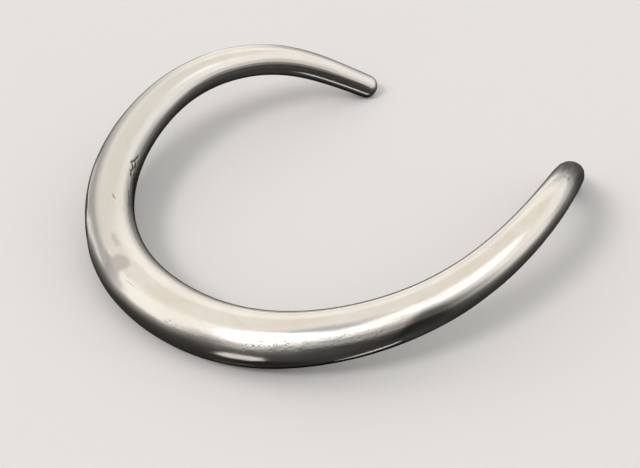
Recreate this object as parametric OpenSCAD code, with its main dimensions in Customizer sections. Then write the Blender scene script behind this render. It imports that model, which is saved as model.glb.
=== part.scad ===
// Neck ring: one hollow tube of polished sheet silver, bent to an open C and closed at its two
// blunt tips. It is thickest at the front and tapers to the tips. It stands on its front and on
// both tips, and its arms arch clear of the surface between them. +Z is up, the front is at -Y,
// the gap for the neck is at +Y, and the origin is under the middle of the ring. Millimetres.

/* [Tube] */
// Thickness of the sheet silver
wall = 1; // [0.6:0.1:2]
// Size of the tube against the sizes in its rows
girth = 1; // [0.8:0.05:1.15]
// Squareness of the tube's section, where 2 is an ellipse
section_power = 2.15; // [2:0.05:2.6]

/* [Bend] */
// Angle at the middle of the neck between straight back and either tip
gap_angle = 33; // [28:1:40]
// Size of the bend against the radii in its rows
spread = 1; // [0.9:0.05:1.15]
// Height of the arched arms against the lifts in their rows
arch = 1; // [0.6:0.1:1.3]

/* [Tips] */
// Length of a tip's rounding past the last row
tip_length = 5; // [3:0.5:7]
// Bluntness of a tip, where 2 is an ellipse
tip_power = 2.3; // [2:0.1:3]

/* [Facets] */
// Sides of the tube outside
outer_sides = 36; // [24:4:44]
// Steps between two rows outside
outer_steps = 7; // [4:1:7]
// Sides of the hollow inside
inner_sides = 16; // [16:4:24]
// Steps between two rows inside
inner_steps = 3; // [2:1:4]
// Steps round a tip
tip_steps = 6; // [4:1:8]

/* [Hidden] */

// The ring from its front to a tip, a row at every equal angle round the neck. The columns are the
// radius of the bend for the left arm and the right arm, the clear height under the left arm and
// the right arm, and the tube's width across the bend and its depth. The tube's curve is a cubic
// B-spline, so it passes close to the rows and not through them.
ROWS = [
    [92.0, 92.0, 0.0, 0.0, 22.5, 22.5],
    [92.0, 91.5, 0.5, 0.0, 21.5, 22.5],
    [91.5, 91.0, 5.0, 5.5, 20.0, 20.5],
    [90.5, 90.0, 11.0, 12.0, 19.0, 18.5],
    [90.5, 89.0, 17.0, 18.5, 18.0, 16.0],
    [90.5, 89.5, 24.0, 26.0, 16.0, 15.0],
    [89.0, 92.5, 26.0, 32.5, 14.0, 13.5],
    [92.5, 96.5, 19.5, 26.0, 12.0, 12.5],
    [102.0, 106.0, 0.2, 0.2, 10.5, 10.5]
];
LEFT_RADIUS = 0;
RIGHT_RADIUS = 1;
LEFT_LIFT = 2;
RIGHT_LIFT = 3;
WIDTH = 4;
DEPTH = 5;

// Parts of a control, which is one row set in its place: a point on the tube's middle line, then
// half the tube's width and half its depth.
HALF_WIDTH = 3;
HALF_DEPTH = 4;

arm_rows = len(ROWS) - 1;
row_angle = (180 - gap_angle) / arm_rows;
spans = 2 * arm_rows;

// Side is -1 for the left arm and 1 for the right arm.
function control(side, number) =
    let (
        row = ROWS[number],
        radius = spread * row[side < 0 ? LEFT_RADIUS : RIGHT_RADIUS],
        lift = arch * row[side < 0 ? LEFT_LIFT : RIGHT_LIFT],
        half_width = girth * row[WIDTH] / 2,
        half_depth = girth * row[DEPTH] / 2,
        angle = number * row_angle
    )
    [side * radius * sin(angle), -radius * cos(angle), lift + half_depth, half_width, half_depth];

// All controls from the left tip over the front to the right tip, with one more past each tip that
// carries the tube's line straight on.
left_arm = [for (number = [arm_rows : -1 : 1]) control(-1, number)];
right_arm = [for (number = [0 : arm_rows]) control(1, number)];
ring_rows = concat(left_arm, right_arm);
before_first = 2 * ring_rows[0] - ring_rows[1];
after_last = 2 * ring_rows[spans] - ring_rows[spans - 1];
controls = concat([before_first], ring_rows, [after_last]);

// Weights of the four nearest controls for a point on the curve, and for the curve's direction.
function point_weights(f) =
    [pow(1 - f, 3), 3 * pow(f, 3) - 6 * f * f + 4, -3 * pow(f, 3) + 3 * f * f + 3 * f + 1, pow(f, 3)] / 6;
function slope_weights(f) = [-pow(1 - f, 2), 3 * f * f - 4 * f, -3 * f * f + 2 * f + 1, f * f] / 2;

// Four controls on from one number, for a place on the ring from 0 at the left tip to spans at the
// right tip.
function first_control(place) = min(floor(place), spans - 1);
function near_controls(place) = [for (number = [0 : 3]) controls[first_control(place) + number]];
function curve(place) = point_weights(place - first_control(place)) * near_controls(place);
function direction(place) =
    let (slope = slope_weights(place - first_control(place)) * near_controls(place))
    [slope.x, slope.y, slope.z] / norm([slope.x, slope.y, slope.z]);

// A number raised to a power with its sign kept.
function signed_power(value, power) = sign(value) * pow(abs(value), power);

// Points round the tube at a place, moved along it by shift and shrunk by scale, with the sheet's
// thickness taken off by inset.
function section(place, sides, inset, shift = 0, scale = 1) =
    let (
        here = curve(place),
        ahead = direction(place),
        across_line = cross(ahead, [0, 0, 1]),
        across = across_line / norm(across_line),
        upright = cross(across, ahead),
        middle = [here.x, here.y, here.z] + shift * ahead,
        half_width = (here[HALF_WIDTH] - inset) * scale,
        half_depth = (here[HALF_DEPTH] - inset) * scale
    )
    [for (side = [0 : sides - 1])
        let (angle = 360 * side / sides)
        middle + half_width * signed_power(cos(angle), 2 / section_power) * across
            + half_depth * signed_power(sin(angle), 2 / section_power) * upright];

// Rings of points round one tip, from its end to its last full section. Past is -1 at the left tip
// and 1 at the right tip.
function tip_rings(past, sides, inset) =
    [for (step = [tip_steps - 1 : -1 : 1])
        let (
            reach = sin(90 * step / tip_steps),
            scale = pow(1 - pow(reach, tip_power), 1 / tip_power)
        )
        section(past < 0 ? 0 : spans, sides, inset, past * reach * (tip_length - inset), scale)];

function tip_point(past, inset) =
    let (place = past < 0 ? 0 : spans, here = curve(place))
    [here.x, here.y, here.z] + past * (tip_length - inset) * direction(place);

function reversed(list) = [for (number = [len(list) - 1 : -1 : 0]) list[number]];

// All rings of the tube's skin, tip to tip.
function skin_rings(sides, steps, inset) =
    concat(
        tip_rings(-1, sides, inset),
        [for (step = [0 : spans * steps]) section(step / steps, sides, inset)],
        reversed(tip_rings(1, sides, inset))
    );

// Points as one list, and the move that stands the ring on the surface over its own middle.
function joined(lists) = [for (list = lists) for (item = list) item];
outer_rings = skin_rings(outer_sides, outer_steps, 0);
outer_points = joined(outer_rings);
function lowest(axis) = min([for (point = outer_points) point[axis]]);
function highest(axis) = max([for (point = outer_points) point[axis]]);
box_middle = [(lowest(0) + highest(0)) / 2, (lowest(1) + highest(1)) / 2, lowest(2)];

// A closed skin through rings of points, with one point at each end.
module skin(rings, sides, inset) {
    ring_count = len(rings);
    left_end = ring_count * sides;
    right_end = left_end + 1;
    last_ring = (ring_count - 1) * sides;
    walls = [for (ring = [0 : ring_count - 2]) for (side = [0 : sides - 1])
        let (
            next_side = (side + 1) % sides,
            near_a = ring * sides + side,
            near_b = ring * sides + next_side,
            far_a = near_a + sides,
            far_b = near_b + sides
        )
        each [[near_a, near_b, far_b], [near_a, far_b, far_a]]];
    left_fan = [for (side = [0 : sides - 1]) [left_end, (side + 1) % sides, side]];
    right_fan = [for (side = [0 : sides - 1]) [right_end, last_ring + side, last_ring + (side + 1) % sides]];
    polyhedron(
        points = concat(joined(rings), [tip_point(-1, inset), tip_point(1, inset)]),
        faces = concat(walls, left_fan, right_fan),
        convexity = 8
    );
}

module neck_ring() {
    color([0.80, 0.78, 0.75])
    translate(-box_middle)
    difference() {
        skin(outer_rings, outer_sides, 0);
        skin(skin_rings(inner_sides, inner_steps, wall), inner_sides, wall);
    }
}

neck_ring();
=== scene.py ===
"""Fine finish of an open neck ring of polished sheet silver, and the stage that it is seen on.

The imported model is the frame. A fine mesh of the same bent tube takes the place of its plain solid,
with the left arm's shoulder, the seam, the mended crack and the shallow dents of a worn ring. All
lengths are in metres.
"""

import math
from collections import namedtuple

import bmesh
import bpy
from mathutils import Matrix, Vector, noise


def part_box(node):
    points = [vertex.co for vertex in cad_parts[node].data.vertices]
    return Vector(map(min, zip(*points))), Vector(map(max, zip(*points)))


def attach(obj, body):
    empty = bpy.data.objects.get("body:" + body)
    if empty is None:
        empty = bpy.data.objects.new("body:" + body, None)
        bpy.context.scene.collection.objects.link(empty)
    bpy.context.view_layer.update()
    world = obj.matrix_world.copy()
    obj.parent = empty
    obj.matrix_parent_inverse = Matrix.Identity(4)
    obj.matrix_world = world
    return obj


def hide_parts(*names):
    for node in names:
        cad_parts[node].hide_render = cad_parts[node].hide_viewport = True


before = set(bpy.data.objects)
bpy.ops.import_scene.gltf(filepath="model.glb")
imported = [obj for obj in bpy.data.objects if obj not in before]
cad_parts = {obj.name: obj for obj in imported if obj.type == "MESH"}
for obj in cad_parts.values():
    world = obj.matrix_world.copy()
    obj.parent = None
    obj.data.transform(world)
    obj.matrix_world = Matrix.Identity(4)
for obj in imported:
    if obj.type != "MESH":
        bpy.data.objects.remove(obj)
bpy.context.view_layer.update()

bl_info = {
    "name": "Silver Neck Ring",
    "version": (1, 0, 0),
    "blender": (4, 5, 0),
    "location": "3D View > Sidebar > Neck Ring",
    "description": "Builds a worn silver neck ring on its frame, and a plain stage for it",
    "category": "Object",
}

RING_NODE = "neck_ring"

# The ring from its front to a tip, a row at every equal angle round the neck: the radius of the bend,
# the clear height under the tube, and the tube's width across the bend and its depth.
RingRow = namedtuple("RingRow", "left_radius right_radius left_lift right_lift width depth")
ROWS = (
    RingRow(0.0920, 0.0920, 0.0000, 0.0000, 0.0225, 0.0225),
    RingRow(0.0920, 0.0915, 0.0005, 0.0000, 0.0215, 0.0225),
    RingRow(0.0915, 0.0910, 0.0050, 0.0055, 0.0200, 0.0205),
    RingRow(0.0905, 0.0900, 0.0110, 0.0120, 0.0190, 0.0185),
    RingRow(0.0905, 0.0890, 0.0170, 0.0185, 0.0180, 0.0160),
    RingRow(0.0905, 0.0895, 0.0240, 0.0260, 0.0160, 0.0150),
    RingRow(0.0890, 0.0925, 0.0260, 0.0325, 0.0140, 0.0135),
    RingRow(0.0925, 0.0965, 0.0195, 0.0260, 0.0120, 0.0125),
    RingRow(0.1020, 0.1060, 0.0002, 0.0002, 0.0105, 0.0105),
)
ARM_ROWS = len(ROWS) - 1
SPANS = 2 * ARM_ROWS

# A control is one row set in its place, and a station is one section of the tube.
Control = namedtuple("Control", "middle half_width half_depth")
Station = namedtuple("Station", "matrix place along")

# A place on the skin is a number along the tube, 0 at the left tip, 8 at the front and 16 at the right
# tip, and an angle round it in degrees: 0 outward, 90 on top, 180 inward and 270 below. The mean length
# of one step and the tube's mean radius turn them into metres.
SPAN_LENGTH = 0.029
TUBE_RADIUS = 0.0095
SEAM_ANGLE = 255.0

# How many ripples lie round the tube in the length of one ripple along it.
RIPPLES_ROUND = 3

# The parts of the tube with a finer mesh, for the shoulder, the fine marks and the mended crack.
FINE_ANGLES = ((6.0, 42.0), (98.0, 184.0))
FINE_PLACES = (4.7, 5.4)

# The shoulder between the side of the left arm and its flatter top, in rows along the tube from the left
# tip to past the front: the place, the crest's angle, how proud it stands, and how far it runs out above
# and below and how round it is, in degrees.
ShoulderRow = namedtuple("ShoulderRow", "place angle height above below rounding")
SHOULDER = (
    ShoulderRow(0.30, 56, 0.00000, 24, 50, 1.8),
    ShoulderRow(0.80, 60, 0.00030, 24, 50, 1.8),
    ShoulderRow(1.40, 57, 0.00052, 24, 50, 1.8),
    ShoulderRow(2.20, 54, 0.00046, 22, 50, 1.8),
    ShoulderRow(2.90, 50, 0.00000, 22, 50, 1.8),
    ShoulderRow(4.70, 33, 0.00000, 16, 60, 1.8),
    ShoulderRow(5.20, 35, 0.00025, 16, 60, 1.8),
    ShoulderRow(5.80, 36, 0.00032, 17, 60, 1.8),
    ShoulderRow(6.20, 23, 0.00050, 21, 65, 1.8),
    ShoulderRow(6.60, 9, 0.00086, 32, 75, 2.0),
    ShoulderRow(7.10, 6, 0.00088, 50, 80, 3.5),
    ShoulderRow(7.60, 6, 0.00056, 52, 80, 5.0),
    ShoulderRow(8.10, 4, 0.00030, 40, 80, 7.0),
    ShoulderRow(8.80, 4, 0.00000, 34, 80, 8.0),
)

# A shallow dent, a smudge or a stain: its place, its angle, its length and width at half its depth, its
# depth or strength, and how far it is turned from the way of the tube in degrees. A negative depth is a
# swelling.
Mark = namedtuple("Mark", "place angle length width depth slant", defaults=(0,))
DENTS = (
    Mark(6.74, 81, 0.0075, 0.0024, 0.00006),
    Mark(6.87, 49, 0.0075, 0.0022, 0.00005),
    Mark(7.58, 50, 0.0110, 0.0016, 0.00005),
    Mark(6.35, 98, 0.0120, 0.0040, 0.00004),
    Mark(9.75, 8, 0.0050, 0.0060, 0.00010),
    Mark(10.70, 12, 0.0100, 0.0060, -0.00010, 10),
    Mark(11.45, 2, 0.0110, 0.0075, 0.00030, 25),
    Mark(8.80, 18, 0.0070, 0.0050, 0.00007, -15),
    Mark(9.25, 14, 0.0060, 0.0040, -0.00006, 20),
    Mark(10.15, 30, 0.0090, 0.0040, 0.00005, 12),
    Mark(12.60, 60, 0.0160, 0.0060, 0.00004),
    Mark(4.20, 95, 0.0180, 0.0060, 0.00004),
    Mark(3.10, 60, 0.0160, 0.0050, 0.00005),
    Mark(2.10, 140, 0.0140, 0.0050, 0.00004),
    Mark(13.40, 100, 0.0120, 0.0050, 0.00005),
    Mark(9.00, 200, 0.0180, 0.0070, 0.00010, 20),
    Mark(11.60, 190, 0.0160, 0.0060, 0.00008),
    Mark(6.00, 220, 0.0170, 0.0060, 0.00010, -15),
    Mark(7.30, 300, 0.0190, 0.0070, 0.00012, 10),
    Mark(4.60, 310, 0.0150, 0.0060, 0.00010),
    Mark(12.30, 320, 0.0160, 0.0060, 0.00010, 30),
    Mark(2.60, 350, 0.0140, 0.0060, 0.00008),
)
SMUDGES = (
    Mark(7.10, 35, 0.0085, 0.0055, 1.0),
    Mark(7.14, 56, 0.0085, 0.0055, 1.0),
    Mark(7.20, 71, 0.0065, 0.0036, 0.9),
    Mark(7.36, 30, 0.0095, 0.0034, 0.6),
    Mark(6.74, 81, 0.0085, 0.0020, 0.8),
    Mark(6.87, 49, 0.0085, 0.0016, 0.7),
    Mark(9.60, 250, 0.0140, 0.0080, 0.6),
    Mark(3.60, 240, 0.0120, 0.0060, 0.6),
    Mark(12.90, 210, 0.0130, 0.0050, 0.6),
)
# Brown tarnish, most of it beside the mended crack, along the inner side and by the right tip.
STAINS = (
    Mark(5.06, 158, 0.0048, 0.0026, 0.75),
    Mark(5.24, 148, 0.0020, 0.0012, 1.0),
    Mark(5.80, 150, 0.0230, 0.0024, 0.75),
    Mark(6.25, 152, 0.0180, 0.0020, 0.68),
    Mark(7.60, 49, 0.0120, 0.0009, 0.55, 3),
    Mark(14.36, 68, 0.0040, 0.0040, 0.7),
    Mark(14.05, 118, 0.0060, 0.0014, 0.6),
    Mark(1.20, 205, 0.0150, 0.0030, 0.5),
)

# Scratched or cracked lines: the points that they pass as places and angles, their width at half their
# depth, their depth, and how dark they are.
Line = namedtuple("Line", "points width depth darkness")
LINES = (
    Line(((4.80, 154), (4.94, 146), (5.01, 137), (5.05, 146), (5.12, 149), (5.17, 143), (5.26, 147)),
         0.00085, 0.00015, 1.0),
    Line(((4.94, 146), (4.97, 155), (5.08, 151)), 0.00075, 0.00012, 0.95),
    Line(((5.80, 100), (5.86, 101), (5.90, 106)), 0.0008, 0.00007, 0.62),
    Line(((5.94, 112), (5.97, 119)), 0.0007, 0.00005, 0.5),
    Line(((6.05, 120), (6.09, 125)), 0.0008, 0.00004, 0.45),
    Line(((5.41, 141), (5.81, 146), (6.28, 143), (6.60, 134)), 0.0006, 0.00004, 0.5),
)

# The zone on the outer side of the front where the polish is worn off: its middle as a place and an angle,
# and how far it reaches from there.
WORN_PLACE = 9.9
WORN_LENGTH = 2.6
WORN_ANGLE = 22
WORN_SPREAD = 46

# The thin even tarnish of the left arm: the places where it starts and ends, and how long it takes to fade.
FILM_START = 2.2
FILM_END = 7.4
FILM_FADE = 1.2

# The dull right tip. A haze lies on top of the arm before it: its strength, the place where it starts, the
# length that it takes to grow, and its angle and spread. The whole end grows dull after that, with a short
# delay away from the outer side, from so many degrees on and in full at twice as many.
TIP_HAZE_STRENGTH = 0.4
TIP_HAZE_START = 13.85
TIP_HAZE_LENGTH = 0.4
TIP_HAZE_ANGLE = 88
TIP_HAZE_SPREAD = 40
DULL_START = 13.95
DULL_LENGTH = 0.85
DULL_DELAY = 0.08
DULL_OUTER_ANGLE = 40


class RingShape(bpy.types.PropertyGroup):
    """Sizes of the bent tube"""

    section_power: bpy.props.FloatProperty(
        name="Section Power", description="Squareness of the tube's section, where 2 is an ellipse",
        default=2.15, min=2.0, max=2.6)
    gap_angle: bpy.props.FloatProperty(
        name="Gap Angle", description="Angle at the neck between straight back and either tip",
        default=math.radians(33), min=math.radians(28), max=math.radians(40),
        subtype="ANGLE", unit="ROTATION")
    tip_length: bpy.props.FloatProperty(
        name="Tip Length", description="Length of a tip's rounding past the last row",
        default=0.005, min=0.003, max=0.007, precision=4, subtype="DISTANCE", unit="LENGTH")
    tip_power: bpy.props.FloatProperty(
        name="Tip Power", description="Bluntness of a tip, where 2 is an ellipse",
        default=2.3, min=2.0, max=3.0)
    sides: bpy.props.IntProperty(
        name="Sides", description="Sides of the tube, before some of them are split",
        default=104, min=24, max=120)
    steps: bpy.props.IntProperty(
        name="Steps", description="Sections between two rows", default=38, min=4, max=48)
    tip_steps: bpy.props.IntProperty(
        name="Tip Steps", description="Sections round a tip", default=16, min=4, max=24)


class RingWear(bpy.types.PropertyGroup):
    """Depths of what hand work and wear left in the metal"""

    ripple_depth: bpy.props.FloatProperty(
        name="Ripple Depth", description="Height of the slow ripple that hammer and file left",
        default=0.00009, min=0.0, max=0.0003, precision=5, subtype="DISTANCE", unit="LENGTH")
    ripple_length: bpy.props.FloatProperty(
        name="Ripple Length", description="Distance between two ripples along the tube",
        default=0.034, min=0.005, max=0.08, precision=4, subtype="DISTANCE", unit="LENGTH")
    shoulder_height: bpy.props.FloatProperty(
        name="Shoulder Height", description="Height of the left arm's shoulder, against its own height",
        default=1.0, min=0.0, max=1.5, subtype="FACTOR")
    dent_depth: bpy.props.FloatProperty(
        name="Dent Depth", description="Depth of the shallow dents, against their own depths",
        default=1.0, min=0.0, max=3.0, subtype="FACTOR")
    seam_depth: bpy.props.FloatProperty(
        name="Seam Depth", description="Depth of the groove along the soldered seam",
        default=0.00008, min=0.0, max=0.0003, precision=5, subtype="DISTANCE", unit="LENGTH")
    seam_width: bpy.props.FloatProperty(
        name="Seam Width", description="Width of the groove along the soldered seam",
        default=0.0009, min=0.0004, max=0.002, precision=5, subtype="DISTANCE", unit="LENGTH")
    line_depth: bpy.props.FloatProperty(
        name="Line Depth", description="Depth of crack and scratches, against their own depths",
        default=1.0, min=0.0, max=3.0, subtype="FACTOR")


class SilverFinish(bpy.types.PropertyGroup):
    """Colours and gloss of the silver"""

    silver_colour: bpy.props.FloatVectorProperty(
        name="Silver", description="Colour of the clean silver",
        default=(0.90, 0.88, 0.845), size=3, min=0.0, max=1.0, subtype="COLOR")
    warm_colour: bpy.props.FloatVectorProperty(
        name="Warm Silver", description="Colour where a thin tarnish makes the silver warm",
        default=(0.87, 0.825, 0.755), size=3, min=0.0, max=1.0, subtype="COLOR")
    pink_colour: bpy.props.FloatVectorProperty(
        name="Pink Silver", description="Colour of the faint pink cloudiness on the left arm",
        default=(0.86, 0.80, 0.77), size=3, min=0.0, max=1.0, subtype="COLOR")
    tarnish_colour: bpy.props.FloatVectorProperty(
        name="Tarnish", description="Colour of the brown tarnish in the seam, the crack and the pits",
        default=(0.17, 0.125, 0.09), size=3, min=0.0, max=1.0, subtype="COLOR")
    smudge_colour: bpy.props.FloatVectorProperty(
        name="Smudge", description="Colour of the dull grey smudges",
        default=(0.58, 0.545, 0.535), size=3, min=0.0, max=1.0, subtype="COLOR")
    film_colour: bpy.props.FloatVectorProperty(
        name="Film", description="Colour under the thin even tarnish of the left arm",
        default=(0.80, 0.78, 0.745), size=3, min=0.0, max=1.0, subtype="COLOR")
    dull_colour: bpy.props.FloatVectorProperty(
        name="Dull Tip", description="Colour of the grey brown tarnish on the right tip",
        default=(0.095, 0.088, 0.078), size=3, min=0.0, max=1.0, subtype="COLOR")
    gloss_roughness: bpy.props.FloatProperty(
        name="Gloss Roughness", description="Roughness of the polished silver",
        default=0.10, min=0.0, max=1.0, subtype="FACTOR")
    worn_roughness: bpy.props.FloatProperty(
        name="Worn Roughness", description="Roughness where the polish is worn off",
        default=0.21, min=0.0, max=1.0, subtype="FACTOR")
    brush_depth: bpy.props.FloatProperty(
        name="Brush Depth", description="Depth of the fine scratches along the tube",
        default=0.000004, min=0.0, max=0.00002, precision=6, subtype="DISTANCE", unit="LENGTH")


class StageSetup(bpy.types.PropertyGroup):
    """Sizes and colours of the floor and the mirrored table, and the camera's place and angles"""

    floor_size: bpy.props.FloatProperty(
        name="Floor Size", description="Side of the square floor",
        default=6.0, min=1.0, max=20.0, subtype="DISTANCE", unit="LENGTH")
    floor_colour: bpy.props.FloatVectorProperty(
        name="Floor", description="Colour of the pale floor",
        default=(0.62, 0.62, 0.63), size=3, min=0.0, max=1.0, subtype="COLOR")
    table_colour: bpy.props.FloatVectorProperty(
        name="Mirrored Table", description="Colour of the glossy table top that only the silver mirrors",
        default=(0.008, 0.008, 0.007), size=3, min=0.0, max=1.0, subtype="COLOR")
    camera_azimuth: bpy.props.FloatProperty(
        name="Camera Azimuth", description="Angle of the camera round the ring, from straight in front",
        default=math.radians(42.71), subtype="ANGLE", unit="ROTATION")
    camera_elevation: bpy.props.FloatProperty(
        name="Camera Elevation", description="Angle of the camera above the floor",
        default=math.radians(37.40), subtype="ANGLE", unit="ROTATION")
    camera_roll: bpy.props.FloatProperty(
        name="Camera Roll", description="Tilt of the camera to one side",
        default=math.radians(-0.26), subtype="ANGLE", unit="ROTATION")
    camera_distance: bpy.props.FloatProperty(
        name="Camera Distance", description="Distance from the camera to the point that it looks at",
        default=0.6686, min=0.1, max=5.0, subtype="DISTANCE", unit="LENGTH")
    camera_target: bpy.props.FloatVectorProperty(
        name="Camera Target", description="Point that the camera looks at",
        default=(0.0012, -0.0037, 0.0002), size=3, precision=4, subtype="TRANSLATION", unit="LENGTH")


def signed_power(value, power):
    """A number raised to a power with its sign kept."""
    return math.copysign(abs(value) ** power, value)


def smooth_step(value):
    """0 to 1 for a value from 0 to 1, level at both ends."""
    value = min(max(value, 0.0), 1.0)
    return value * value * (3.0 - 2.0 * value)


def bell(distance, reach):
    """1 at no distance, and 0 from reach on."""
    return 1.0 - smooth_step(abs(distance) / reach)


def ring_control(side, number, shape):
    """One row of the ring in its place, on the left arm for side -1 and the right arm for side 1."""
    row = ROWS[number]
    radius = row.left_radius if side < 0 else row.right_radius
    lift = row.left_lift if side < 0 else row.right_lift
    angle = number * (math.pi - shape.gap_angle) / ARM_ROWS
    middle = Vector((side * radius * math.sin(angle), -radius * math.cos(angle), lift + row.depth / 2))
    return Control(middle, row.width / 2, row.depth / 2)


def past_end(last, before):
    """A control past an end of the ring that carries its line straight on."""
    return Control(
        2 * last.middle - before.middle,
        2 * last.half_width - before.half_width,
        2 * last.half_depth - before.half_depth,
    )


def ring_controls(shape):
    """All controls from the left tip over the front to the right tip, with one more past each tip."""
    left_arm = [ring_control(-1, number, shape) for number in range(ARM_ROWS, 0, -1)]
    right_arm = [ring_control(1, number, shape) for number in range(ARM_ROWS + 1)]
    controls = left_arm + right_arm
    return [past_end(controls[0], controls[1]), *controls, past_end(controls[-1], controls[-2])]


def tube_section(controls, place):
    """Middle, direction, half width and half depth of the tube at a place from 0 to SPANS."""
    first = min(int(place), SPANS - 1)
    part = place - first
    near = controls[first:first + 4]
    point_weights = (
        (1 - part) ** 3 / 6,
        (3 * part ** 3 - 6 * part ** 2 + 4) / 6,
        (-3 * part ** 3 + 3 * part ** 2 + 3 * part + 1) / 6,
        part ** 3 / 6,
    )
    slope_weights = (
        -(1 - part) ** 2 / 2,
        (3 * part ** 2 - 4 * part) / 2,
        (-3 * part ** 2 + 2 * part + 1) / 2,
        part ** 2 / 2,
    )
    nothing = Vector((0, 0, 0))
    middle = sum((weight * control.middle for weight, control in zip(point_weights, near)), nothing)
    slope = sum((weight * control.middle for weight, control in zip(slope_weights, near)), nothing)
    half_width = sum(weight * control.half_width for weight, control in zip(point_weights, near))
    half_depth = sum(weight * control.half_depth for weight, control in zip(point_weights, near))
    return middle, slope.normalized(), half_width, half_depth


def section_matrix(controls, place, shift=0.0, scale=1.0):
    """Matrix that carries the flat unit outline to the tube's section at a place."""
    middle, ahead, half_width, half_depth = tube_section(controls, place)
    across = ahead.cross(Vector((0, 0, 1))).normalized()
    upright = across.cross(ahead)
    matrix = Matrix.Identity(4)
    matrix.col[0] = (across * half_width * scale).to_4d()
    matrix.col[1] = (upright * half_depth * scale).to_4d()
    matrix.col[2] = ahead.to_4d()
    for column in range(3):
        matrix[3][column] = 0.0
    matrix.translation = middle + shift * ahead
    return matrix


def station_places(shape):
    """Place, reach past a tip as a share of its length, and size against the row, for every section."""
    left_round = []
    right_round = []
    for step in range(1, shape.tip_steps):
        reach = math.sin(math.pi / 2 * step / shape.tip_steps)
        scale = (1 - reach ** shape.tip_power) ** (1 / shape.tip_power)
        left_round.append((0.0, -reach, scale))
        right_round.append((float(SPANS), reach, scale))
    body = []
    for step in range(SPANS * shape.steps):
        place = step / shape.steps
        body.append((place, 0.0, 1.0))
        if FINE_PLACES[0] <= place < FINE_PLACES[1]:
            body.append((place + 0.5 / shape.steps, 0.0, 1.0))
    return [*reversed(left_round), *body, (float(SPANS), 0.0, 1.0), *right_round]


def ring_stations(shape):
    """The sections of the whole tube from tip to tip, and the two end points."""
    controls = ring_controls(shape)
    stations = []
    along = 0.0
    for place, reach, scale in station_places(shape):
        matrix = section_matrix(controls, place, reach * shape.tip_length, scale)
        if stations:
            along += (matrix.translation - stations[-1].matrix.translation).length
        stations.append(Station(matrix, place + reach * shape.tip_length / SPAN_LENGTH, along))
    left_end = section_matrix(controls, 0.0, -shape.tip_length).translation
    right_end = section_matrix(controls, float(SPANS), shape.tip_length).translation
    return stations, left_end, right_end


def outline_angle(point):
    """Angle of a point of the flat outline, from 0 to 360 degrees."""
    return math.degrees(math.atan2(point.y, point.x)) % 360


def tube_outline(shape):
    """A bmesh of the tube's flat unit outline, with layers for what each vertex keeps of its skin."""
    bm = bmesh.new()
    outline_layer = bm.verts.layers.float_vector.new("outline")
    grain_layer = bm.verts.layers.float_vector.new("grain")
    bm.verts.layers.float.new("place")
    angle_layer = bm.verts.layers.float.new("angle")
    bmesh.ops.create_circle(bm, cap_ends=False, radius=1.0, segments=shape.sides)
    fine_edges = [edge for edge in bm.edges for low, high in FINE_ANGLES
                  if low < outline_angle(edge.verts[0].co + edge.verts[1].co) < high]
    bmesh.ops.subdivide_edges(bm, edges=fine_edges, cuts=1)
    power = 2 / shape.section_power
    for vert in bm.verts:
        vert[angle_layer] = outline_angle(vert.co)
        angle = math.radians(vert[angle_layer])
        across = math.cos(angle)
        upright = math.sin(angle)
        vert[outline_layer] = (signed_power(across, power), signed_power(upright, power), 0.0)
        vert[grain_layer] = (0.0, TUBE_RADIUS * across, TUBE_RADIUS * upright)
    return bm


def set_station(bm, verts, station):
    """Stands one section of the tube in its place, and keeps the place in its vertices."""
    outline_layer = bm.verts.layers.float_vector["outline"]
    grain_layer = bm.verts.layers.float_vector["grain"]
    place_layer = bm.verts.layers.float["place"]
    for vert in verts:
        vert.co = station.matrix @ vert[outline_layer]
        vert[place_layer] = station.place
        vert[grain_layer].x = station.along


def extrude_rim(bm, edges):
    """The new vertices and the new open rim after a rim is extruded on the spot."""
    grown = bmesh.ops.extrude_edge_only(bm, edges=edges)["geom"]
    new_verts = [item for item in grown if isinstance(item, bmesh.types.BMVert)]
    new_rim = [item for item in grown if isinstance(item, bmesh.types.BMEdge) and item.is_boundary]
    return new_verts, new_rim


def build_tube(shape):
    """A bmesh of the closed tube, with each vertex's place, angle and grain kept in layers."""
    stations, left_end, right_end = ring_stations(shape)
    bm = tube_outline(shape)
    start_rim = list(bm.edges)
    rim = start_rim
    set_station(bm, bm.verts, stations[0])
    for station in stations[1:]:
        new_verts, rim = extrude_rim(bm, rim)
        set_station(bm, new_verts, station)
    for end_rim, end in ((start_rim, left_end), (rim, right_end)):
        new_verts, _ = extrude_rim(bm, end_rim)
        bmesh.ops.pointmerge(bm, verts=new_verts, merge_co=end)
    bmesh.ops.recalc_face_normals(bm, faces=bm.faces)
    return bm


def ring_object(name, bm, material):
    """A smooth object at the origin from a finished bmesh, with one material."""
    mesh = bpy.data.meshes.new(name)
    bm.to_mesh(mesh)
    bm.free()
    mesh.polygons.foreach_set("use_smooth", [True] * len(mesh.polygons))
    mesh.materials.append(material)
    ring = bpy.data.objects.new(name, mesh)
    bpy.context.scene.collection.objects.link(ring)
    return ring


def stand_in_frame(bm):
    """Moves the tube so that its box has the place of the frame's box."""
    low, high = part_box(RING_NODE)
    corners = [vert.co for vert in bm.verts]
    bm_low = Vector(min(corner[axis] for corner in corners) for axis in range(3))
    bm_high = Vector(max(corner[axis] for corner in corners) for axis in range(3))
    move = (low + high) / 2 - (bm_low + bm_high) / 2
    move.z = low.z - bm_low.z
    bmesh.ops.translate(bm, verts=bm.verts, vec=move)


def angle_between(angle, other):
    """Degrees from another angle to this one, from -180 to 180."""
    return (angle - other + 180) % 360 - 180


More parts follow.
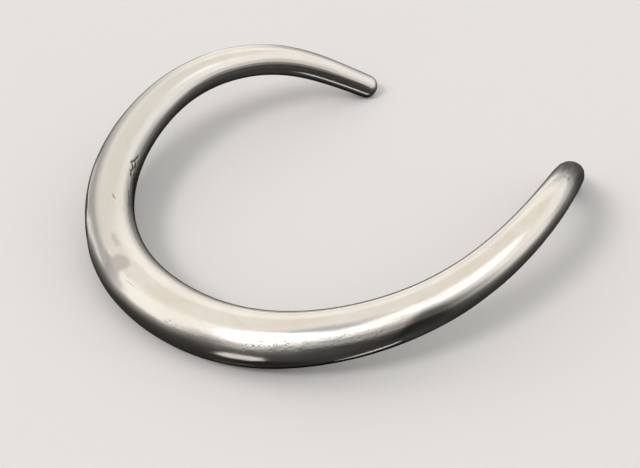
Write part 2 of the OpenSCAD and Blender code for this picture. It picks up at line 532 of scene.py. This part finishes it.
def mark_share(mark, place, angle):
    """1 in the middle of a mark, and 0 outside it."""
    ahead = (place - mark.place) * SPAN_LENGTH
    across = math.radians(angle_between(angle, mark.angle)) * TUBE_RADIUS
    if math.hypot(ahead, across) > max(mark.length, mark.width):
        return 0.0
    slant = math.radians(mark.slant)
    lengthwise = (ahead * math.cos(slant) + across * math.sin(slant)) / mark.length
    sideways = (across * math.cos(slant) - ahead * math.sin(slant)) / mark.width
    return bell(math.hypot(lengthwise, sideways), 1.0)


def marks_share(marks, place, angle):
    """All marks of a list together, each by its own depth or strength."""
    return sum(mark.depth * mark_share(mark, place, angle) for mark in marks)


def shoulder_height(place, angle):
    """How proud the skin stands of the round tube beside the shoulder of the left arm."""
    if not SHOULDER[0].place < place < SHOULDER[-1].place:
        return 0.0
    before, after = next(pair for pair in zip(SHOULDER, SHOULDER[1:]) if place <= pair[1].place)
    share = smooth_step((place - before.place) / (after.place - before.place))
    row = ShoulderRow(*((1 - share) * first + share * second for first, second in zip(before, after)))
    side = angle_between(angle, row.angle)
    reach = row.above if side > 0 else row.below
    distance = math.hypot(side, row.rounding) - row.rounding
    return row.height * max(0.0, 1 - distance / reach) ** 2


def skin_point(place, angle):
    """A place and an angle as a point of the skin rolled out flat."""
    return Vector((place * SPAN_LENGTH, math.radians(angle) * TUBE_RADIUS))


def line_share(line, place, angle):
    """1 on a scratched or cracked line, and 0 beside it."""
    places = [point[0] for point in line.points]
    margin = line.width / SPAN_LENGTH
    if not min(places) - margin < place < max(places) + margin:
        return 0.0
    point = skin_point(place, angle)
    nearest = line.width
    for first, second in zip(line.points, line.points[1:]):
        start = skin_point(*first)
        way = skin_point(*second) - start
        share = min(max((point - start).dot(way) / way.length_squared, 0.0), 1.0)
        nearest = min(nearest, (point - start - share * way).length)
    return bell(nearest, line.width)


def worn_share(place, angle):
    """How far the polish is worn off, from 0 to 1."""
    return bell(place - WORN_PLACE, WORN_LENGTH) * bell(angle_between(angle, WORN_ANGLE), WORN_SPREAD)


def film_share(place):
    """How much of the left arm's thin tarnish there is, from 0 to 1."""
    return smooth_step((place - FILM_START) / FILM_FADE) * smooth_step((FILM_END - place) / FILM_FADE)


def dull_share(place, angle):
    """How dull the right tip is, from 0 to 1: a haze on top of the arm, and then the whole end."""
    haze = TIP_HAZE_STRENGTH * smooth_step((place - TIP_HAZE_START) / TIP_HAZE_LENGTH)
    haze *= bell(angle_between(angle, TIP_HAZE_ANGLE), TIP_HAZE_SPREAD)
    past_outer = (abs(angle_between(angle, 0)) - DULL_OUTER_ANGLE) / DULL_OUTER_ANGLE
    start = DULL_START + DULL_DELAY * smooth_step(past_outer)
    return max(haze, smooth_step((place - start) / DULL_LENGTH))


def wear_tube(bm, wear):
    """Shapes the wear into the skin, and keeps in layers where the finish changes."""
    place_layer = bm.verts.layers.float["place"]
    angle_layer = bm.verts.layers.float["angle"]
    grain_layer = bm.verts.layers.float_vector["grain"]
    finish_names = ("seam", "smudge", "stain", "worn", "dull", "film")
    finish_layers = {name: bm.verts.layers.float.new(name) for name in finish_names}
    ripple_scale = Vector((1, RIPPLES_ROUND, RIPPLES_ROUND)) / wear.ripple_length
    bm.normal_update()
    moves = []
    for vert in bm.verts:
        place = vert[place_layer]
        angle = vert[angle_layer]
        ripple = noise.noise(vert[grain_layer] * ripple_scale)
        height = wear.shoulder_height * shoulder_height(place, angle)
        height -= wear.ripple_depth * (0.5 + 0.5 * ripple)
        height -= wear.dent_depth * marks_share(DENTS, place, angle)
        seam_gap = abs(math.radians(angle_between(angle, SEAM_ANGLE))) * TUBE_RADIUS
        seam = bell(seam_gap, wear.seam_width)
        height -= wear.seam_depth * seam
        line_shares = [line_share(line, place, angle) for line in LINES]
        height -= wear.line_depth * sum(line.depth * share for line, share in zip(LINES, line_shares))
        dark_lines = [line.darkness * share for line, share in zip(LINES, line_shares)]
        vert[finish_layers["seam"]] = max(seam, *dark_lines)
        vert[finish_layers["smudge"]] = min(1.0, marks_share(SMUDGES, place, angle))
        vert[finish_layers["stain"]] = min(1.0, marks_share(STAINS, place, angle))
        vert[finish_layers["worn"]] = worn_share(place, angle)
        vert[finish_layers["dull"]] = dull_share(place, angle)
        vert[finish_layers["film"]] = film_share(place)
        moves.append(vert.normal * height)
    for vert, move in zip(bm.verts, moves):
        vert.co += move


class Nodes:
    """Adds the nodes of one material or world and joins them."""

    def __init__(self, tree):
        self.tree = tree

    def add(self, kind, **settings):
        """A new node with its settings."""
        node = self.tree.nodes.new(kind)
        for name, value in settings.items():
            setattr(node, name, value)
        return node

    def set(self, socket, value):
        """Joins a socket to another one, or gives it a number or a colour."""
        if isinstance(value, bpy.types.NodeSocket):
            self.tree.links.new(value, socket)
        elif isinstance(value, tuple) and len(value) == 3 and socket.type == "RGBA":
            socket.default_value = (*value, 1.0)
        else:
            socket.default_value = value

    def maths(self, operation, first, second=0.0, third=0.0):
        """The result of one step of arithmetic."""
        node = self.add("ShaderNodeMath", operation=operation)
        for socket, value in zip(node.inputs, (first, second, third)):
            self.set(socket, value)
        return node.outputs["Value"]

    def total(self, first, *others):
        """The sum of several values."""
        for other in others:
            first = self.maths("ADD", first, other)
        return first

    def between(self, value, low, high, low_result=0.0, high_result=1.0):
        """A smooth change from one result to the other as a value goes from low to high."""
        node = self.add("ShaderNodeMapRange", interpolation_type="SMOOTHSTEP")
        self.set(node.inputs["Value"], value)
        self.set(node.inputs["From Min"], low)
        self.set(node.inputs["From Max"], high)
        self.set(node.inputs["To Min"], low_result)
        self.set(node.inputs["To Max"], high_result)
        return node.outputs["Result"]

    def blend(self, share, first, second):
        """One colour laid over another by a share from 0 to 1."""
        node = self.add("ShaderNodeMix", data_type="RGBA")
        self.set(node.inputs["Factor"], share)
        self.set(node.inputs["A"], first)
        self.set(node.inputs["B"], second)
        return node.outputs["Result"]

    def scale(self, colour, share):
        """A colour made darker by a share from 0 to 1."""
        node = self.add("ShaderNodeVectorMath", operation="SCALE")
        self.set(node.inputs["Vector"], colour)
        self.set(node.inputs["Scale"], share)
        return node.outputs["Vector"]

    def attribute(self, name, output="Fac"):
        """What the mesh keeps under a name."""
        return self.add("ShaderNodeAttribute", attribute_name=name).outputs[output]

    def noise(self, grain, clouds):
        """Noise over the skin, as a row of CLOUDS says."""
        scaled = self.add("ShaderNodeVectorMath", operation="MULTIPLY_ADD")
        self.set(scaled.inputs[0], grain)
        self.set(scaled.inputs[1], (clouds.along, clouds.across, clouds.across))
        self.set(scaled.inputs[2], (clouds.shift, clouds.shift, clouds.shift))
        node = self.add("ShaderNodeTexNoise")
        self.set(node.inputs["Vector"], scaled.outputs["Vector"])
        self.set(node.inputs["Scale"], 1.0)
        self.set(node.inputs["Detail"], clouds.detail)
        return node.outputs["Fac"]


# Noise over the silver: its clouds to the metre along the tube and round it, how many finer layers it has,
# and a shift that keeps it apart from the others. Nearly all of it lies within one span of heights.
NOISE_SPAN = (0.3, 0.7)
Clouds = namedtuple("Clouds", "along across detail shift")
CLOUDS = {
    "warm": Clouds(45.0, 110.0, 3.0, 0.0),
    "pink": Clouds(70.0, 160.0, 3.0, 7.0),
    "blots": Clouds(260.0, 420.0, 4.0, 3.0),
    "brush": Clouds(60.0, 1500.0, 4.0, 11.0),
    "patches": Clouds(90.0, 330.0, 4.0, 19.0),
    "streaks": Clouds(35.0, 800.0, 3.0, 29.0),
    "grit": Clouds(650.0, 1000.0, 2.0, 37.0),
    "haze": Clouds(28.0, 75.0, 3.0, 43.0),
}

# The torn edge of a finish that the mesh keeps: the noise that tears it, how far, and the strengths between
# which it fades in.
Edge = namedtuple("Edge", "noise tear low high")
EDGES = {
    "smudge": Edge("blots", 1.0, 0.05, 1.05),
    "stain": Edge("blots", 1.2, 0.25, 0.80),
    "dull": Edge("blots", 0.5, 0.05, 0.95),
    "seam": Edge("blots", 0.9, 0.20, 0.85),
    "worn": Edge("patches", 0.9, 0.25, 0.95),
}

# Pits: the cells to the metre that may hold one each, the shares of a cell that its rim and its floor reach
# out to, how much the worn zone and the dull tip help them, and the heights of noise where they start and
# are deepest.
PIT_CELLS = 820.0
PIT_RIM = 0.30
PIT_FLOOR = 0.16
PITS_WORN = 0.32
PITS_DULL = 0.14
PITS_START = 0.69
PITS_FULL = 0.77

# How far a finish covers the silver's colour where it is strongest.
PINK_STRENGTH = 0.7
SMUDGE_STRENGTH = 0.85
STAIN_STRENGTH = 0.6
SEAM_STRENGTH = 0.95
PIT_STRENGTH = 0.5

# How much a finish adds to the silver's roughness, from least to most for the film.
SMUDGE_ROUGHNESS = 0.14
DULL_ROUGHNESS = 0.20
BRUSH_ROUGHNESS = 0.05
FILM_ROUGHNESS = (0.03, 0.11)
TARNISH_ROUGHNESS = 0.2

# Heights of the relief that is finer than the mesh, where the polish is worn off and elsewhere.
PIT_DEPTH = 0.00005
STREAKS_WORN = 0.00004
PEEL_WORN = 0.00011
PEEL_ELSEWHERE = 0.000006
GRIT_WORN = 0.00007
GRIT_ELSEWHERE = 0.0000015


def pit_share(nodes, grain, worn, dull, patches):
    """How deep the pits are, from 0 to 1."""
    cells = nodes.add("ShaderNodeTexVoronoi")
    nodes.set(cells.inputs["Vector"], grain)
    nodes.set(cells.inputs["Scale"], PIT_CELLS)
    pit_place = nodes.between(cells.outputs["Distance"], PIT_RIM, PIT_FLOOR)
    pitted = nodes.maths("MULTIPLY_ADD", worn, PITS_WORN, nodes.maths("MULTIPLY", dull, PITS_DULL))
    pit_zone = nodes.between(nodes.maths("ADD", patches, pitted), PITS_START, PITS_FULL)
    return nodes.maths("MULTIPLY", pit_place, pit_zone)


def finish_shares(nodes, grain, noises):
    """How much of each finish there is, from 0 to 1."""
    shares = {}
    for name, edge in EDGES.items():
        swing = nodes.maths("SUBTRACT", noises[edge.noise], 0.5)
        torn = nodes.maths("MULTIPLY_ADD", swing, edge.tear, nodes.attribute(name))
        shares[name] = nodes.between(torn, edge.low, edge.high)
    film_clouds = nodes.between(noises["warm"], 0.25, 0.65, 0.75, 1.0)
    shares["film"] = nodes.maths("MULTIPLY", nodes.attribute("film"), film_clouds)
    shares["pits"] = pit_share(nodes, grain, nodes.attribute("worn"), shares["dull"], noises["patches"])
    return shares


def silver_colour(nodes, finish, noises, shares):
    """The clean silver's colour with each finish laid over the ones before it, and a faint shading."""
    dull_patches = nodes.between(noises["patches"], *NOISE_SPAN, 0.78, 1.0)
    layers = (
        (nodes.between(noises["warm"], 0.35, 0.7), 1.0, finish.warm_colour),
        (nodes.between(noises["pink"], 0.48, 0.66), PINK_STRENGTH, finish.pink_colour),
        (shares["film"], 1.0, finish.film_colour),
        (shares["smudge"], SMUDGE_STRENGTH, finish.smudge_colour),
        (shares["dull"], dull_patches, finish.dull_colour),
        (shares["stain"], STAIN_STRENGTH, finish.tarnish_colour),
        (shares["seam"], SEAM_STRENGTH, finish.tarnish_colour),
        (shares["pits"], PIT_STRENGTH, finish.tarnish_colour),
    )
    colour = finish.silver_colour[:]
    for share, strength, layer_colour in layers:
        colour = nodes.blend(nodes.maths("MULTIPLY", share, strength), colour, layer_colour[:])
    haze_shade = nodes.between(noises["haze"], *NOISE_SPAN, 0.97, 1.0)
    grit_shade = nodes.between(noises["grit"], *NOISE_SPAN, 0.98, 1.0)
    return nodes.scale(colour, nodes.maths("MULTIPLY", haze_shade, grit_shade))


def silver_roughness(nodes, finish, noises, shares):
    """The roughness of polished and worn silver, with what each finish adds."""
    tarnish = nodes.maths("MAXIMUM", shares["seam"], shares["stain"])
    film_haze = nodes.between(noises["haze"], *NOISE_SPAN, *FILM_ROUGHNESS)
    return nodes.total(
        nodes.between(shares["worn"], 0.0, 1.0, finish.gloss_roughness, finish.worn_roughness),
        nodes.maths("MULTIPLY", shares["smudge"], SMUDGE_ROUGHNESS),
        nodes.maths("MULTIPLY", shares["dull"], DULL_ROUGHNESS),
        nodes.between(noises["brush"], 0.45, 0.75, 0.0, BRUSH_ROUGHNESS),
        nodes.maths("MULTIPLY", nodes.attribute("film"), film_haze),
        nodes.maths("MULTIPLY", tarnish, TARNISH_ROUGHNESS),
    )


def silver_relief(nodes, finish, noises, shares):
    """The height of pits, brush marks and worn skin that are finer than the mesh."""
    worn = nodes.attribute("worn")
    peel_height = nodes.maths("MULTIPLY_ADD", worn, PEEL_WORN, PEEL_ELSEWHERE)
    streak_height = nodes.maths("MULTIPLY", worn, STREAKS_WORN)
    grit_height = nodes.maths("MULTIPLY_ADD", shares["worn"], GRIT_WORN, GRIT_ELSEWHERE)
    return nodes.total(
        nodes.maths("MULTIPLY", shares["pits"], -PIT_DEPTH),
        nodes.maths("MULTIPLY", noises["brush"], finish.brush_depth),
        nodes.maths("MULTIPLY", noises["blots"], peel_height),
        nodes.maths("MULTIPLY", noises["streaks"], streak_height),
        nodes.maths("MULTIPLY", noises["grit"], grit_height),
    )


def silver_material(finish):
    """Worn polished silver, brushed along the tube, with tarnish, smudges, pits and brown lines."""
    material = bpy.data.materials.new("Worn Silver")
    material.use_nodes = True
    nodes = Nodes(material.node_tree)
    shader = material.node_tree.nodes["Principled BSDF"]
    grain = nodes.attribute("grain", "Vector")
    noises = {name: nodes.noise(grain, clouds) for name, clouds in CLOUDS.items()}
    shares = finish_shares(nodes, grain, noises)
    bump = nodes.add("ShaderNodeBump")
    nodes.set(bump.inputs["Strength"], 1.0)
    nodes.set(bump.inputs["Distance"], 1.0)
    nodes.set(bump.inputs["Height"], silver_relief(nodes, finish, noises, shares))
    nodes.set(shader.inputs["Base Color"], silver_colour(nodes, finish, noises, shares))
    nodes.set(shader.inputs["Roughness"], silver_roughness(nodes, finish, noises, shares))
    nodes.set(shader.inputs["Metallic"], 1.0)
    nodes.set(shader.inputs["Normal"], bump.outputs["Normal"])
    return material


def plain_material(name, colour, roughness, ior=1.45):
    """A plain material for the stage."""
    material = bpy.data.materials.new(name)
    material.use_nodes = True
    shader = material.node_tree.nodes["Principled BSDF"]
    shader.inputs["Base Color"].default_value = (*colour, 1.0)
    shader.inputs["Roughness"].default_value = roughness
    shader.inputs["IOR"].default_value = ior
    return material


def stage_object(name, bm, material):
    """An object of the stage from a finished bmesh."""
    mesh = bpy.data.meshes.new(name)
    bm.to_mesh(mesh)
    bm.free()
    mesh.materials.append(material)
    item = bpy.data.objects.new(name, mesh)
    bpy.context.scene.collection.objects.link(item)
    return item


def square(name, size, height, material):
    """A flat square sheet at a height."""
    bm = bmesh.new()
    bmesh.ops.create_grid(bm, x_segments=1, y_segments=1, size=size / 2)
    bmesh.ops.translate(bm, verts=bm.verts, vec=(0, 0, height))
    return stage_object(name, bm, material)


def hide_but_mirrored(item):
    """Keeps an object of the stage out of everything but reflections."""
    item.visible_camera = False
    item.visible_diffuse = False
    item.visible_shadow = False


# The pale floor's roughness, and the glossy table that only the silver mirrors: its roughness, its index of
# refraction, and how far it lies under the floor.
FLOOR_ROUGHNESS = 0.8
TABLE_ROUGHNESS = 0.03
TABLE_IOR = 1.42
TABLE_DROP = 0.0005

# The camera's sensor and lens in millimetres, how far its frame is shifted up, as a share of its width, and
# the nearest that it sees.
CAMERA_SENSOR = 36.0
CAMERA_LENS = 91.24
CAMERA_SHIFT = 0.0014
CAMERA_NEAREST = 0.01

# The tent of light round the stage. Its wall is dim by the floor and bright from some height on, and its
# pale ceiling is a rectangle whose edges are slopes: so far to a side, or away from the camera, for each
# metre up. A level direction counts as climbing a little, so that it has a slope as well.
WALL_DIM_RISE = 3.0
WALL_BRIGHT_RISE = 27.0
WALL_DIM = (0.50, 0.49, 0.475)
WALL_BRIGHT = (0.97, 0.946, 0.907)
CEILING = (0.87, 0.827, 0.757)
CEILING_LEFT = 1.35
CEILING_RIGHT = 0.70
CEILING_NEAR = -0.20
CEILING_FAR = 1.35
CEILING_SOFT = 0.25
CEILING_RIGHT_SOFT = 0.45
LEAST_CLIMB = 0.001

# A soft patch of the tent's light: its direction as degrees to the right of straight away from the camera
# and degrees above the floor, its half width and half height, the soft share of its edge, its colour and
# its brightness. Each is laid over the ones before it.
Glow = namedtuple("Glow", "turn rise half_width half_height softness colour brightness")
GLOWS = (
    Glow(-12, 8, 18, 9, 1.0, (1.0, 0.975, 0.92), 1.0),
    Glow(-30, 26, 12, 10, 1.0, (1.0, 0.975, 0.93), 0.74),
    Glow(2, 34, 22, 10, 1.0, (1.0, 0.97, 0.90), 1.02),
    Glow(-52, 6, 26, 20, 1.2, (0.96, 0.93, 0.88), 0.45),
    Glow(-80, 8, 14, 10, 1.0, (1.0, 0.97, 0.93), 0.50),
    Glow(-100, 14, 20, 34, 1.0, (1.0, 0.96, 0.90), 1.05),
    Glow(112, 8, 32, 16, 1.0, (1.0, 0.98, 0.94), 0.66),
    Glow(96, 14, 14, 12, 1.0, (1.0, 0.98, 0.96), 0.90),
    Glow(-150, 29, 20, 25, 0.7, (1.0, 0.985, 0.96), 1.45),
    Glow(-173, 42, 17, 17, 0.9, (1.0, 0.985, 0.96), 1.4),
    Glow(125, 65, 22, 15, 0.7, (1.0, 0.985, 0.97), 1.35),
    Glow(-145, 67, 11, 15, 1.2, (0.98, 0.97, 0.98), 0.52),
    Glow(172, 2, 26, 30, 1.0, (1.0, 0.98, 0.96), 0.36),
    Glow(-54, 1, 16, 3, 1.0, (1.0, 0.98, 0.95), 1.0),
    Glow(-139, 48, 9, 8, 0.4, (1.0, 0.96, 0.92), 20.0),
)

# A dark card that stands near the ring, to the right of the camera, and that only the silver and the table
# under it mirror. It fades out to both sides and upward. Its turn is in degrees and the rest in metres: its
# distance, how far its darkest line lies to the right as seen from the ring, how far it reaches to the left
# and right of that line, and the heights where it starts to fade and ends.
CARD_TURN = 150.0
CARD_DISTANCE = 0.50
CARD_SHIFT = -0.042
CARD_LEFT = 0.32
CARD_RIGHT = 0.135
CARD_FADES = 0.10
CARD_TOP = 0.60
CARD_COLOUR = (0.09, 0.088, 0.086)

# A strip lamp that hangs level over the table in front of the ring, for the thin streaks that the table
# throws up under the silver: its middle, its half length and half width, how far it is turned from the
# camera's right in degrees, its colour and its brightness, off the table and where the silver mirrors it.
LAMP_RIGHT = 0.138
LAMP_NEARER = 0.142
LAMP_HEIGHT = 0.42
LAMP_HALF_LENGTH = 0.095
LAMP_HALF_WIDTH = 0.029
LAMP_TURN = -27.0
LAMP_COLOUR = (1.0, 0.97, 0.94)
LAMP_STRENGTH = 22.0
LAMP_GLINT = 1.15
LAMP_SIDES = 48


def lay_glow(nodes, colour, turn, rise, glow):
    """One soft patch of light laid over what is there."""
    past_turn = nodes.maths("SUBTRACT", turn, math.radians(glow.turn))
    off_turn = nodes.maths("WRAP", past_turn, math.pi, -math.pi)
    off_rise = nodes.maths("SUBTRACT", rise, math.radians(glow.rise))
    level = nodes.maths("MULTIPLY", off_turn, nodes.maths("COSINE", rise))
    side = nodes.maths("DIVIDE", level, math.radians(glow.half_width))
    height = nodes.maths("DIVIDE", off_rise, math.radians(glow.half_height))
    squares = nodes.maths("MULTIPLY_ADD", height, height, nodes.maths("MULTIPLY", side, side))
    share = nodes.between(nodes.maths("SQRT", squares), 1 + glow.softness / 2, 1 - glow.softness / 2)
    return nodes.blend(share, colour, tuple(glow.brightness * part for part in glow.colour))


def lay_ceiling(nodes, colour, right, away, up):
    """The pale ceiling laid over the wall, from a direction's three parts."""
    climb = nodes.maths("MAXIMUM", up, LEAST_CLIMB)
    sideways = nodes.maths("DIVIDE", right, climb)
    onward = nodes.maths("DIVIDE", away, climb)
    past_right = nodes.maths("SUBTRACT", sideways, CEILING_RIGHT)
    past_right = nodes.maths("MULTIPLY", past_right, CEILING_SOFT / CEILING_RIGHT_SOFT)
    past_left = nodes.maths("SUBTRACT", nodes.maths("MULTIPLY", sideways, -1.0), CEILING_LEFT)
    off_middle = nodes.maths("SUBTRACT", onward, (CEILING_NEAR + CEILING_FAR) / 2)
    off_middle = nodes.maths("ABSOLUTE", off_middle)
    past_ends = nodes.maths("SUBTRACT", off_middle, (CEILING_FAR - CEILING_NEAR) / 2)
    outside = nodes.maths("MAXIMUM", nodes.maths("MAXIMUM", past_right, past_left), past_ends)
    return nodes.blend(nodes.between(outside, CEILING_SOFT / 2, -CEILING_SOFT / 2), colour, CEILING)


def studio_world(stage):
    """The light tent: a wall, a ceiling and soft patches of light, turned to the camera's side."""
    world = bpy.data.worlds.new("Light Tent")
    world.use_nodes = True
    nodes = Nodes(world.node_tree)
    background = world.node_tree.nodes["Background"]
    place = nodes.add("ShaderNodeTexCoord")
    turned = nodes.add("ShaderNodeVectorRotate", rotation_type="Z_AXIS")
    nodes.set(turned.inputs["Angle"], -stage.camera_azimuth)
    nodes.set(turned.inputs["Vector"], place.outputs["Generated"])
    split = nodes.add("ShaderNodeSeparateXYZ")
    nodes.set(split.inputs["Vector"], turned.outputs["Vector"])
    right, away, up = split.outputs["X"], split.outputs["Y"], split.outputs["Z"]
    turn = nodes.maths("ARCTAN2", right, away)
    rise = nodes.maths("ARCSINE", up)

    wall_share = nodes.between(rise, math.radians(WALL_DIM_RISE), math.radians(WALL_BRIGHT_RISE))
    colour = nodes.blend(wall_share, WALL_DIM, WALL_BRIGHT)
    colour = lay_ceiling(nodes, colour, right, away, up)
    for glow in GLOWS:
        colour = lay_glow(nodes, colour, turn, rise, glow)
    nodes.set(background.inputs["Color"], colour)
    bpy.context.scene.world = world


def card_material(level_side):
    """Plain dark light that fades to nothing at the card's sides and top."""
    material = bpy.data.materials.new("Dark Card")
    material.use_nodes = True
    nodes = Nodes(material.node_tree)
    material.node_tree.nodes.remove(material.node_tree.nodes["Principled BSDF"])
    place = nodes.add("ShaderNodeTexCoord").outputs["Object"]
    along = nodes.add("ShaderNodeVectorMath", operation="DOT_PRODUCT")
    nodes.set(along.inputs[0], place)
    nodes.set(along.inputs[1], level_side[:])
    split = nodes.add("ShaderNodeSeparateXYZ")
    nodes.set(split.inputs["Vector"], place)
    to_left = nodes.between(along.outputs["Value"], CARD_SHIFT - CARD_LEFT, CARD_SHIFT)
    to_right = nodes.between(along.outputs["Value"], CARD_SHIFT + CARD_RIGHT, CARD_SHIFT)
    below = nodes.between(split.outputs["Z"], CARD_TOP, CARD_FADES)
    light = nodes.add("ShaderNodeEmission")
    nodes.set(light.inputs["Color"], CARD_COLOUR)
    mix = nodes.add("ShaderNodeMixShader")
    level_share = nodes.maths("MULTIPLY", to_left, to_right)
    nodes.set(mix.inputs["Fac"], nodes.maths("MULTIPLY", level_share, below))
    nodes.set(mix.inputs[1], nodes.add("ShaderNodeBsdfTransparent").outputs["BSDF"])
    nodes.set(mix.inputs[2], light.outputs["Emission"])
    nodes.set(material.node_tree.nodes["Material Output"].inputs["Surface"], mix.outputs["Shader"])
    return material


def dark_card(stage):
    """The card beside the camera, which only the silver and the mirrored table see."""
    turn = math.radians(CARD_TURN) - stage.camera_azimuth
    outward = Vector((math.sin(turn), math.cos(turn), 0.0))
    level_side = Vector((outward.y, -outward.x, 0.0))
    bm = bmesh.new()
    bmesh.ops.create_grid(bm, x_segments=1, y_segments=1, size=0.5)
    bmesh.ops.scale(bm, verts=bm.verts, vec=(CARD_LEFT + CARD_RIGHT, CARD_TOP, 1.0))
    stand = Matrix((level_side, (0, 0, 1), outward)).transposed()
    bmesh.ops.transform(bm, matrix=stand.to_4x4(), verts=bm.verts)
    middle_shift = CARD_SHIFT + (CARD_RIGHT - CARD_LEFT) / 2
    middle = outward * CARD_DISTANCE + level_side * middle_shift + Vector((0, 0, CARD_TOP / 2))
    bmesh.ops.translate(bm, verts=bm.verts, vec=middle)
    hide_but_mirrored(stage_object("dark_card", bm, card_material(level_side)))


def strip_lamp(stage):
    """The lamp over the table, bright in the table's gloss and pale where the silver itself mirrors it."""
    material = bpy.data.materials.new("Strip Lamp")
    material.use_nodes = True
    nodes = Nodes(material.node_tree)
    material.node_tree.nodes.remove(material.node_tree.nodes["Principled BSDF"])
    light = nodes.add("ShaderNodeEmission")
    nodes.set(light.inputs["Color"], LAMP_COLOUR)
    # The depth is 1 where the silver mirrors the lamp itself, and 2 by way of the table.
    depth = nodes.add("ShaderNodeLightPath").outputs["Ray Depth"]
    nodes.set(light.inputs["Strength"], nodes.between(depth, 1.0, 2.0, LAMP_GLINT, LAMP_STRENGTH))
    nodes.set(material.node_tree.nodes["Material Output"].inputs["Surface"], light.outputs["Emission"])
    bm = bmesh.new()
    bmesh.ops.create_circle(bm, cap_ends=True, radius=1.0, segments=LAMP_SIDES)
    bmesh.ops.scale(bm, verts=bm.verts, vec=(LAMP_HALF_LENGTH, LAMP_HALF_WIDTH, 1.0))
    bmesh.ops.transform(bm, matrix=Matrix.Rotation(math.radians(LAMP_TURN), 4, "Z"), verts=bm.verts)
    bmesh.ops.translate(bm, verts=bm.verts, vec=(LAMP_RIGHT, -LAMP_NEARER, LAMP_HEIGHT))
    bmesh.ops.transform(bm, matrix=Matrix.Rotation(stage.camera_azimuth, 4, "Z"), verts=bm.verts)
    hide_but_mirrored(stage_object("strip_lamp", bm, material))


def studio_camera(stage):
    """The camera at the photograph's angle."""
    data = bpy.data.cameras.new("Camera")
    data.sensor_width = CAMERA_SENSOR
    data.lens = CAMERA_LENS
    data.shift_y = CAMERA_SHIFT
    data.clip_start = CAMERA_NEAREST
    camera = bpy.data.objects.new("Camera", data)
    bpy.context.scene.collection.objects.link(camera)
    level = math.cos(stage.camera_elevation)
    back = Vector((
        math.sin(stage.camera_azimuth) * level,
        -math.cos(stage.camera_azimuth) * level,
        math.sin(stage.camera_elevation),
    ))
    place = Matrix.Translation(Vector(stage.camera_target) + back * stage.camera_distance)
    turn = back.to_track_quat("Z", "Y").to_matrix().to_4x4()
    roll = Matrix.Rotation(stage.camera_roll, 4, "Z")
    camera.matrix_world = place @ turn @ roll
    bpy.context.scene.camera = camera


class NECKRING_OT_make_ring(bpy.types.Operator):
    """Builds the silver neck ring in the place of its plain solid"""

    bl_idname = "neck_ring.make_ring"
    bl_label = "Make Neck Ring"

    def execute(self, context):
        shape = context.scene.neck_ring_shape
        bm = build_tube(shape)
        stand_in_frame(bm)
        wear_tube(bm, context.scene.neck_ring_wear)
        material = silver_material(context.scene.neck_ring_finish)
        ring = ring_object("silver_neck_ring", bm, material)
        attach(ring, "root")
        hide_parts(RING_NODE)
        return {"FINISHED"}


class NECKRING_OT_make_stage(bpy.types.Operator):
    """Sets up the floor, the studio's light and the camera"""

    bl_idname = "neck_ring.make_stage"
    bl_label = "Make Stage"

    def execute(self, context):
        stage = context.scene.neck_ring_stage
        pale = plain_material("Pale Floor", stage.floor_colour, FLOOR_ROUGHNESS)
        floor = square("floor", stage.floor_size, 0.0, pale)
        floor.visible_glossy = False
        glossy = plain_material("Glossy Black Table", stage.table_colour, TABLE_ROUGHNESS, TABLE_IOR)
        hide_but_mirrored(square("mirrored_table", stage.floor_size, -TABLE_DROP, glossy))
        dark_card(stage)
        strip_lamp(stage)
        studio_world(stage)
        studio_camera(stage)
        context.scene.view_settings.view_transform = "Standard"
        return {"FINISHED"}


class NECKRING_PT_panel(bpy.types.Panel):
    """Lists the steps that make the neck ring, and their settings"""

    bl_label = "Neck Ring"
    bl_idname = "NECKRING_PT_panel"
    bl_space_type = "VIEW_3D"
    bl_region_type = "UI"
    bl_category = "Neck Ring"

    def draw(self, context):
        layout = self.layout
        layout.operator(NECKRING_OT_make_ring.bl_idname)
        layout.operator(NECKRING_OT_make_stage.bl_idname)
        for name, group in SETTINGS.items():
            box = layout.box()
            for setting in group.__annotations__:
                box.prop(getattr(context.scene, name), setting)


SETTINGS = {
    "neck_ring_shape": RingShape,
    "neck_ring_wear": RingWear,
    "neck_ring_finish": SilverFinish,
    "neck_ring_stage": StageSetup,
}
CLASSES = (*SETTINGS.values(), NECKRING_OT_make_ring, NECKRING_OT_make_stage, NECKRING_PT_panel)


def register():
    """Registers the classes and the scene's settings."""
    for item in CLASSES:
        bpy.utils.register_class(item)
    for name, group in SETTINGS.items():
        setattr(bpy.types.Scene, name, bpy.props.PointerProperty(type=group))


def unregister():
    """Takes back what register did."""
    for name in SETTINGS:
        delattr(bpy.types.Scene, name)
    for item in reversed(CLASSES):
        bpy.utils.unregister_class(item)


def main():
    """Makes the ring and its stage."""
    register()
    bpy.ops.neck_ring.make_ring()
    bpy.ops.neck_ring.make_stage()


if __name__ == "__main__":
    main()
